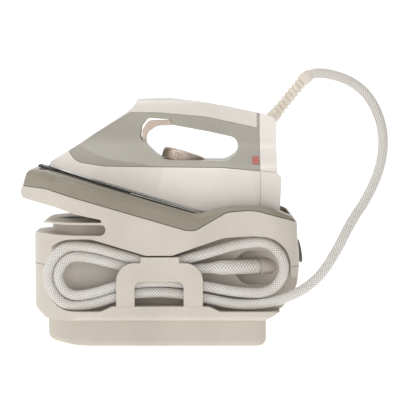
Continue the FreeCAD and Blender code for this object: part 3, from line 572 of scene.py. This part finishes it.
def lacquered_board(name):
    finish = Finish(name, Roughness=0.3, Coat_Weight=0.4)
    split = finish.add("ShaderNodeSeparateXYZ", {}, {"Vector": finish.place}, "X")
    waves = {"Vector": finish.place, "Scale": 160.0, "Distortion": 6.0}
    tracks = finish.add("ShaderNodeTexWave", {}, waves, "Fac")
    lacquer = finish.mix(finish.ramp(tracks + split, 0.6, 0.72), tint(24, 92, 50), tint(60, 138, 84))
    finish.feed("Base Color", lacquer)
    finish.relief(tracks, 0.00004)
    return finish.material


board_green = lacquered_board("board_green")
print("clear and lacquered", lamp_red.name, tank_clear.name, board_green.name)

# %% [markdown]
# ### The braid
#
# The sleeve is braided from cream yarns, ten bundles each way.
# Each bundle shows as a short slanted fleck whose sides are darkened with painted shade where the gaps
# between bundles fall, and the two directions make a fine diamond weave. Fine lines of painted shade also
# part the threads within a bundle. The pattern runs on the hose's own map: one unit along it and one unit
# round it are both one bundle wide, so the finish and the modelled relief agree.

# %% Braided sleeve
def braided(name):
    finish = Finish(name, Roughness=0.75, Sheen_Weight=0.25, Sheen_Roughness=0.5)
    plane = finish.add("ShaderNodeUVMap", {"uv_map": "along"}, {})
    split = finish.tree.nodes.new("ShaderNodeSeparateXYZ")
    finish.tree.links.new(plane.socket, split.inputs[0])
    ahead = Value(finish, split.outputs["X"])
    turn = Value(finish, split.outputs["Y"])
    first = turn + ahead
    second = turn - ahead
    crossing = finish.maths("FLOOR", first) + finish.maths("FLOOR", second)
    over = finish.maths("FLOORED_MODULO", crossing, 2.0)
    across = finish.maths("FRACT", second * over + first * (1 - over))
    threads = finish.maths("FRACT", across * 4.0)
    thread_gap = finish.ramp(finish.maths("ABSOLUTE", threads - 0.5), 0.3, 0.5)
    edge = finish.ramp(finish.maths("ABSOLUTE", across - 0.5), 0.3, 0.48)
    fuzz = finish.noise(2600.0, 2.0)
    soil = finish.noise(26.0, 3.0)
    cream = finish.mix(finish.ramp(soil, 0.35, 0.7), tint(250, 247, 242), tint(242, 237, 230))
    # painted shade: the cream turns grey in the gaps between threads, mixed with random fibre fuzz, and
    # turns dark brown at the sides of each bundle
    thread_shade_and_fuzz = finish.mix(thread_gap * 0.25 + fuzz * 0.15, cream, tint(170, 163, 154))
    shaded = finish.mix(edge * 0.95, thread_shade_and_fuzz, tint(96, 90, 82))
    finish.feed("Base Color", shaded)
    finish.feed("Roughness", 0.65 + fuzz * 0.25)
    finish.relief((1 - edge) * 1.2 + (1 - thread_gap) * 0.5 + fuzz * 0.3, 0.00022)
    return finish.material


braid_cream = braided("braid_cream")
hose.data.materials.append(braid_cream)
print("braid", braid_cream.name)

# %% [markdown]
# ## Shells from the frame
#
# The large mouldings have the right shape already. Their meshes come as loose triangles, so each visible
# one is copied, its doubled points are merged, and it is shaded smooth up to a limit angle. That is the way
# to get clean highlights over the long fillets without touching the frame's own mesh.

# %% Dress a node
def dressed(node, finish, limit=32):
    """A merged, smooth copy of a frame node, with its finish, on the same body."""
    source = nodes[node]
    piece = bpy.data.objects.new(node + "_form", source.data.copy())
    bpy.context.scene.collection.objects.link(piece)
    only(piece)
    bpy.ops.mesh.customdata_custom_splitnormals_clear()
    bpy.ops.object.mode_set(mode="EDIT")
    bpy.ops.mesh.select_all(action="SELECT")
    bpy.ops.mesh.remove_doubles(threshold=0.000002)
    bpy.ops.mesh.dissolve_limited(angle_limit=math.radians(0.2))
    bpy.ops.object.mode_set(mode="OBJECT")
    bpy.ops.object.shade_smooth_by_angle(angle=math.radians(limit))
    piece.data.materials.clear()
    piece.data.materials.append(finish)
    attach(piece, source["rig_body"])
    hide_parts(node)
    return piece


base_forms = {
    "lower_housing": (shell_cream, "station_shell"),
    "upper_housing": (shell_cream, "station_shell"),
    "top_cover": (cover_olive, "cover_olive"),
    "plinth": (plinth_cream, "plinth_plastic"),
    "hose_bracket": (shell_cream, "station_shell"),
    "rubber_feet": (dark_rubber, "dark_rubber"),
    "hose_port_collar": (shell_cream, "pale_rubber"),
    # painted shade: the rest pads are dark rubber so that the gap under the soleplate's edge reads as a dark
    # shadow band
    "rest_pads": (dark_rubber, "dark_rubber"),
    "rest_strips": (bright_strip, "bright_strip"),
    "switch_frame": (black_plastic, "black_plastic"),
    "power_rocker": (black_plastic, "black_plastic"),
    "mains_inlet_gland": (dark_rubber, "dark_rubber"),
    "filler_neck": (inner_plastic, "inner_plastic"),
    "pilot_lights": (lamp_red, "lamp_red"),
}
iron_forms = {
    "iron_skirt": (iron_white, "iron_white"),
    "handle_shell": (handle_grey, "handle_grey"),
    "handle_top_cover": (cap_cream, "cap_cream"),
    "heel_cover": (iron_white, "iron_white"),
    "soleplate": (sole_steel, "sole_metal"),
    "indicator_lens": (lamp_red, "lamp_red"),
}
for node, (finish, slot) in {**base_forms, **iron_forms}.items():
    tell(dressed(node, finish))

# %% [markdown]
# ## Hidden works
#
# The tank, boiler, pump, valves and board are seen only when a shell is taken off. Their solids stay as
# they are, and each gets the finish of what it is made of.

# %% Paint the works
works = {
    tank_clear: ["water_tank"],
    drawn_steel: [
        "boiler", "boiler_element", "boiler_cradle", "plinth_screws", "heat_shield", "trigger_pin",
        "dial_shaft", "knob_shaft",
    ],
    turned_brass: ["safety_valve", "valve_tube", "steam_line", "steam_regulator", "iron_steam_tube"],
    cast_metal: ["heater_block"],
    black_plastic: ["boiler_cutout", "solenoid_valve", "thermostat", "trigger_switch"],
    inner_plastic: ["water_pump"],
    pale_rubber: ["feed_tube", "pressure_tube"],
    board_green: ["circuit_board"],
}
for finish, names in works.items():
    for node in names:
        nodes[node].data.materials.clear()
        nodes[node].data.materials.append(finish)
print("painted", sum(len(names) for names in works.values()))

# %% [markdown]
# ## Turned pieces
#
# The boot, the dial and the knob are round about one line. Each starts as a disc, is extruded
# along that line step by step, and is widened or narrowed at each step, as on a lathe. Then the piece is
# turned to its own direction and moved to its place.

# %% Turn a piece
def turned(name, profile, segments=48):
    """A round piece from (distance, radius) steps along +Z, in metres."""
    bpy.ops.object.select_all(action="DESELECT")
    start, radius = profile[0]
    bpy.ops.mesh.primitive_circle_add(vertices=segments, radius=radius, fill_type="NGON")
    piece = bpy.context.object
    piece.name = name
    bpy.ops.object.mode_set(mode="EDIT")
    bpy.ops.mesh.select_all(action="SELECT")
    bpy.ops.transform.translate(value=(0, 0, start))
    before = (start, radius)
    for distance, radius in profile[1:]:
        bpy.ops.mesh.extrude_region_move(TRANSFORM_OT_translate={"value": (0, 0, distance - before[0])})
        share = radius / before[1]
        bpy.ops.transform.resize(value=(share, share, 1), center_override=(0, 0, distance))
        before = (distance, radius)
    bpy.ops.mesh.select_all(action="SELECT")
    bpy.ops.mesh.normals_make_consistent(inside=False)
    bpy.ops.object.mode_set(mode="OBJECT")
    return piece


def stand(piece, origin, heading):
    """Turns a piece made along +Z to a heading and moves it to its origin."""
    piece.rotation_mode = "QUATERNION"
    piece.rotation_quaternion = Vector((0, 0, 1)).rotation_difference(Vector(heading).normalized())
    piece.location = origin
    settle(piece)


def fluted(piece, low, high, count, depth, least):
    """Draws every second column of points between two heights towards the middle line."""
    bpy.ops.object.mode_set(mode="EDIT")
    bpy.ops.mesh.select_mode(type="VERT")
    bpy.ops.mesh.select_all(action="DESELECT")
    bpy.ops.object.mode_set(mode="OBJECT")
    for vertex in piece.data.vertices:
        x, y, z = vertex.co
        turn = math.atan2(y, x) / (2 * math.pi) * count
        near_groove = abs(turn - round(turn)) < 0.2
        vertex.select = near_groove and low < z < high and math.hypot(x, y) > least
    bpy.ops.object.mode_set(mode="EDIT")
    bpy.ops.transform.resize(value=(1 - depth, 1 - depth, 1), center_override=(0, 0, 0))
    bpy.ops.object.mode_set(mode="OBJECT")


def finished(piece, finish, slot, body, *replaced, limit=40):
    """Smooths a new piece, gives it its finish and its body, and hides the frame nodes that it stands for.
    """
    only(piece)
    bpy.ops.object.shade_smooth_by_angle(angle=math.radians(limit))
    piece.data.materials.clear()
    piece.data.materials.append(finish)
    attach(piece, body)
    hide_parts(*replaced)
    tell(piece)


print("lathe ready")

# %% [markdown]
# ### The hose's boot
#
# Where the hose enters the iron it would kink, so a soft boot spreads the bend. It has a smooth root in the
# heel, seven ribs with narrow grooves between them that let it flex, and a smooth collar that gives with
# the hose's first bend. The ribs have rounded shoulders, made by close steps of the profile.

# %% Boot
boot_place = Vector((0.1354, 0, 0.2738))
boot_slant = math.radians(50.6)
boot_heading = Vector((math.cos(boot_slant), 0, math.sin(boot_slant)))
rib_start = 0.0152
rib_pitch = 0.0067
rib_count = 7
boot_profile = [(-0.0095, 0.0079), (0.0095, 0.0079), (0.0125, 0.0078), (0.0140, 0.0073), (0.0145, 0.0062)]
for rib in range(rib_count):
    foot = rib_start + rib_pitch * rib
    boot_profile += [
        (foot, 0.0053), (foot + 0.0002, 0.0065), (foot + 0.0008, 0.0071), (foot + 0.0018, 0.00725),
        (foot + 0.0036, 0.0072), (foot + 0.0046, 0.0070), (foot + 0.0051, 0.0063), (foot + 0.0053, 0.0053),
    ]
boot_profile += [
    (0.0616, 0.0053), (0.0618, 0.0070), (0.0624, 0.0076), (0.0636, 0.0078), (0.0660, 0.0078),
    (0.0690, 0.0078), (0.0720, 0.0077), (0.0740, 0.0075), (0.0750, 0.0070), (0.0754, 0.0062),
]
boot = turned("boot_ribbed", boot_profile, 48)
stand(boot, boot_place, boot_heading)

# %% Bend the boot's collar along the hose
boot_length = 0.0620
bend_step = 0.0005
last_part = even_steps(hose_line, bend_step)[::-1]
for vertex in boot.data.vertices:
    ahead = (vertex.co - boot_place).dot(boot_heading)
    if ahead > boot_length:
        past = (ahead - boot_length) / bend_step
        index = int(past)
        centre = last_part[index].lerp(last_part[index + 1], past - index)
        turn = boot_heading.rotation_difference((last_part[index + 1] - last_part[index]).normalized())
        vertex.co = centre + turn @ (vertex.co - boot_place - boot_heading * ahead)
finished(boot, pale_rubber, "pale_rubber", "iron", "hose_boot", limit=60)

# %% [markdown]
# ### Dial, trigger and knobs
#
# The temperature dial lies in a cup under the grip, square to the soleplate, so it looks tilted when the
# iron is on its rest. Its side is fluted for the thumb and its top is dished. The trigger is one moulding
# with the same champagne lacquer. The steam knob at the rear is domed and fluted.

# %% Dial
rest_slope = math.radians(16)
dial_axis = Vector((math.sin(rest_slope), 0, math.cos(rest_slope)))
dial_top = Vector((0.02913, 0, 0.2343))
dial_profile = [
    (-0.0130, 0.0262), (-0.0126, 0.0266), (-0.0118, 0.0268), (-0.0046, 0.0268), (-0.0038, 0.0266),
    (-0.0024, 0.0267), (-0.0012, 0.0263), (-0.0004, 0.0256), (0.0, 0.0245), (0.0, 0.0226),
    (-0.0005, 0.0218), (-0.0008, 0.0200), (-0.0010, 0.0120), (-0.0011, 0.0030),
]
dial = turned("dial_fluted", dial_profile, 144)
fluted(dial, -0.0124, -0.0042, 48, 0.024, 0.02)
stand(dial, dial_top, dial_axis)
finished(dial, champagne, "dial_copper", "dial", "thermostat_dial", limit=50)

# %% Trigger
tell(dressed("steam_trigger", champagne))

# %% Steam knob
knob_tilt = math.radians(10)
knob_axis = Vector((math.cos(knob_tilt), 0, math.sin(knob_tilt)))
knob_seat = Vector((0.1693066, 0, 0.11))
knob_profile = [
    (0.0005, 0.0138), (0.0008, 0.0144), (0.0013, 0.01465), (0.0032, 0.0145), (0.0039, 0.0139),
    (0.0044, 0.0128), (0.0049, 0.0105), (0.0052, 0.0075), (0.0054, 0.0040), (0.0055, 0.0010),
]
knob = turned("knob_fluted", knob_profile, 90)
fluted(knob, 0.0010, 0.0036, 30, 0.035, 0.012)
stand(knob, knob_seat, knob_axis)
finished(knob, knob_grey, "knob_grey", "knob", "control_knob", limit=50)

# %% Filler cap
tell(dressed("filler_cap", knob_grey))
